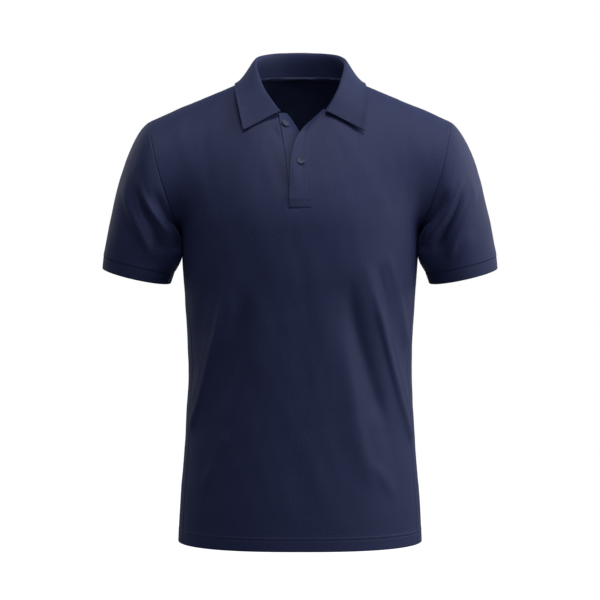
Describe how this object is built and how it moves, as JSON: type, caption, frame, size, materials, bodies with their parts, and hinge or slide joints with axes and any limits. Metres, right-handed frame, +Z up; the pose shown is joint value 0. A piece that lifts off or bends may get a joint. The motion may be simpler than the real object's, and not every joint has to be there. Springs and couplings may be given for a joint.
{
  "type": "polo shirt",
  "caption": "Short-sleeved knitted polo shirt, hollow as worn, with a turned-down rib collar, an open button placket, ribbed cuffs and a straight hem.",
  "frame": {"origin": "midway between the two high shoulder points, where the shoulder seams meet the neckline and the shirt hangs on its wearer", "axes": "+Z up along the body towards the neck, -Y out of the front of the shirt, +X towards the wearer's left sleeve"},
  "size_m": [0.6054, 0.2529, 0.7556],
  "materials": {
    "cloth": "navy cotton pique knit, matt",
    "rib": "navy cotton rib knit, matt",
    "button": "navy moulded plastic, satin"
  },
  "bodies": {
    "root": {"front": "cloth", "back": "cloth", "sleeve_left": "cloth", "sleeve_right": "cloth", "placket_upper": "cloth", "placket_under": "cloth", "neck_tape": "cloth", "collar": "rib", "cuff_left": "rib", "cuff_right": "rib", "button_top": "button", "button_lower": "button"}
  },
  "joints": []
}
